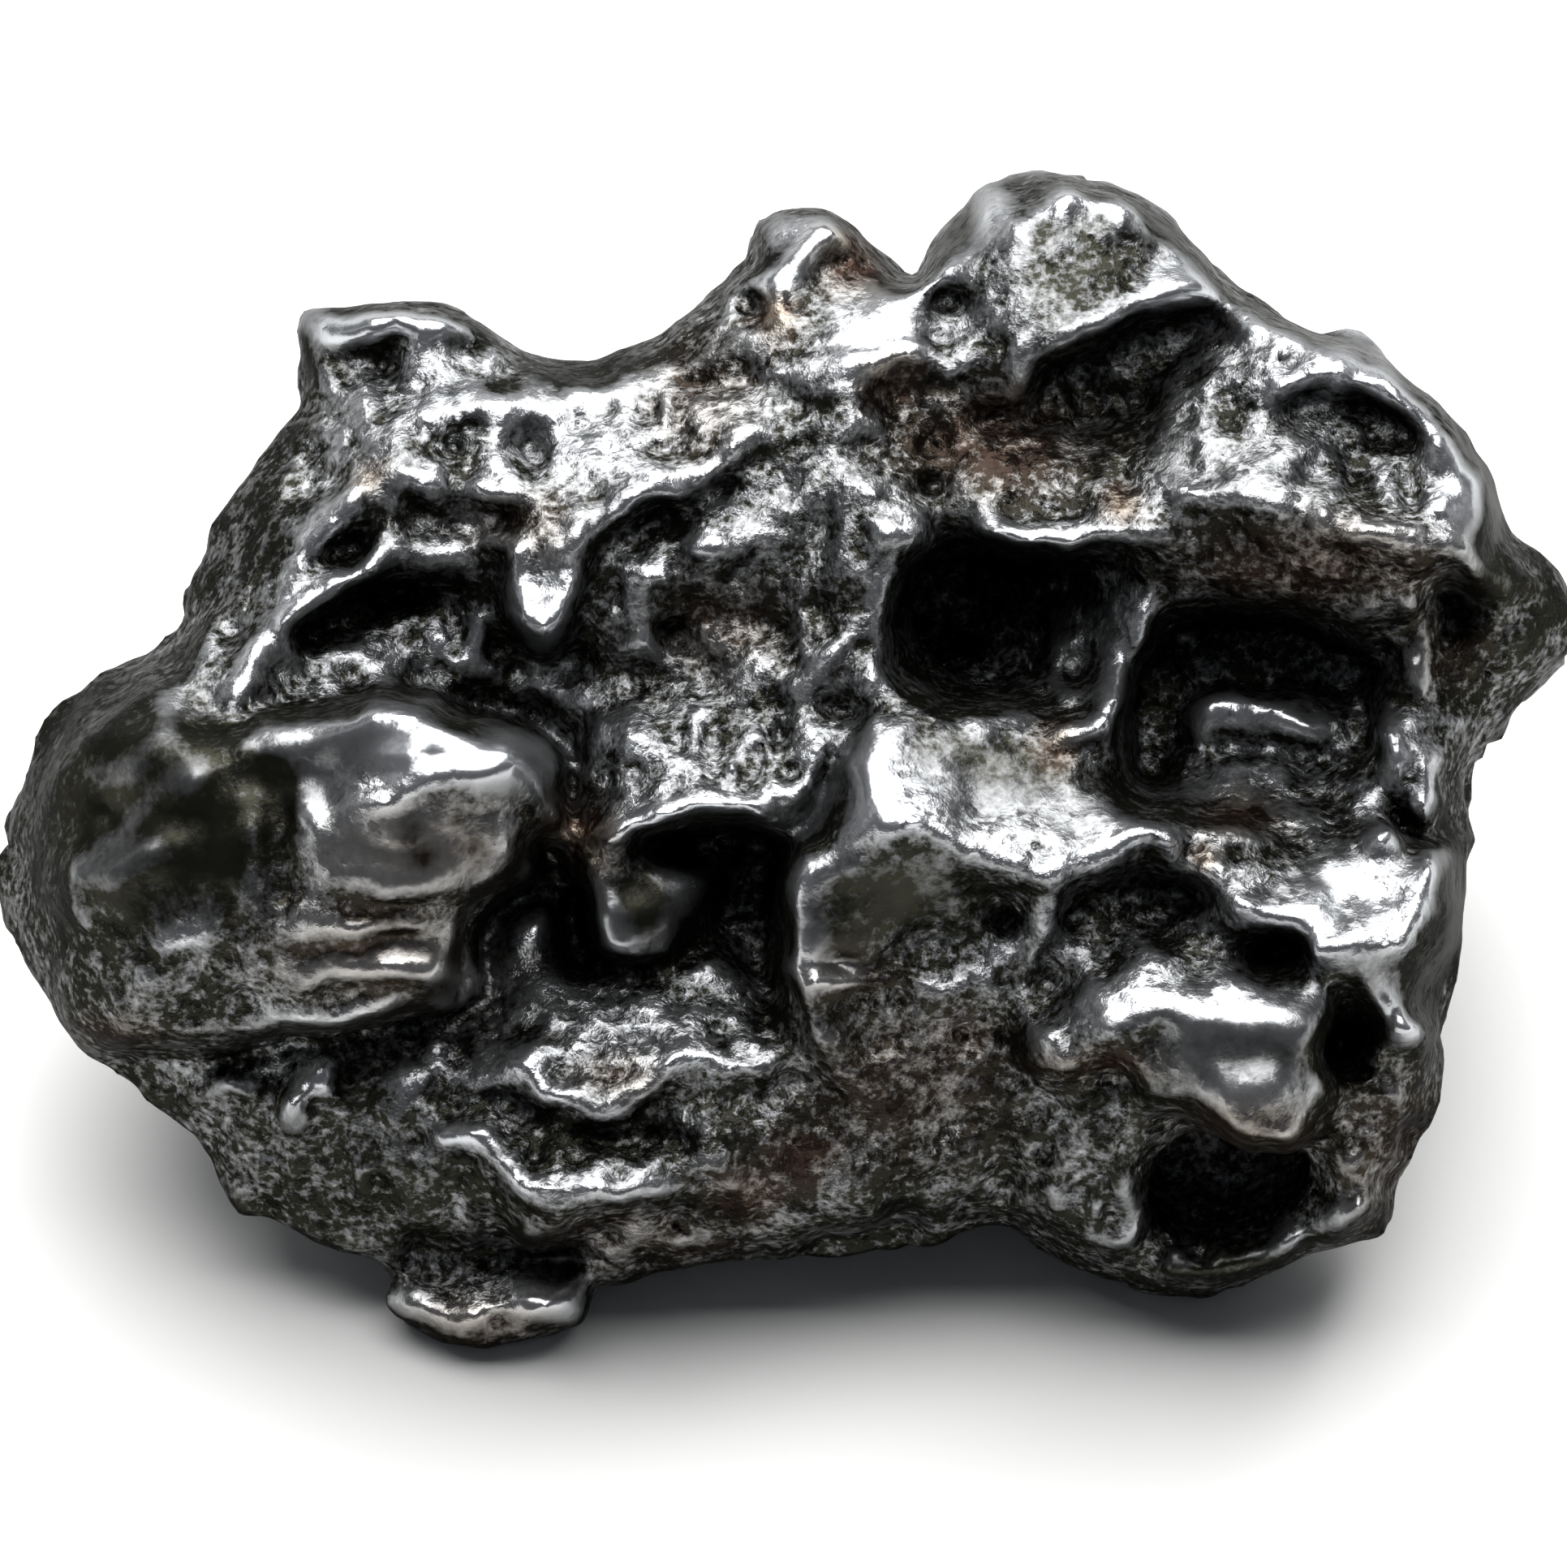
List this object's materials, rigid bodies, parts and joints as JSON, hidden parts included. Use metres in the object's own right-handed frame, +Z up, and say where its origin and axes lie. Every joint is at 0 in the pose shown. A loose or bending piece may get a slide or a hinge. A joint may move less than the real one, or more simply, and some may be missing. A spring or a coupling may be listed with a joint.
{
  "type": "meteorite",
  "caption": "Small torn iron meteorite with a smooth lobe at one end, sharp burnished ridges, deep dark cavities and thumbprint hollows, lying on its underside.",
  "frame": {"origin": "centre of the bounding box, on the surface the meteorite lies on", "axes": "+X along the length, from the smooth lobe to the spur; +Y from the low ridged front to the high rear; +Z up"},
  "size_m": [0.0388, 0.0256, 0.0208],
  "materials": {
    "iron": "weathered nickel iron: near black and grainy in the hollows, worn bright on the ridges, with faint brown rust"
  },
  "bodies": {
    "root": {"meteorite": "iron"}
  },
  "joints": []
}
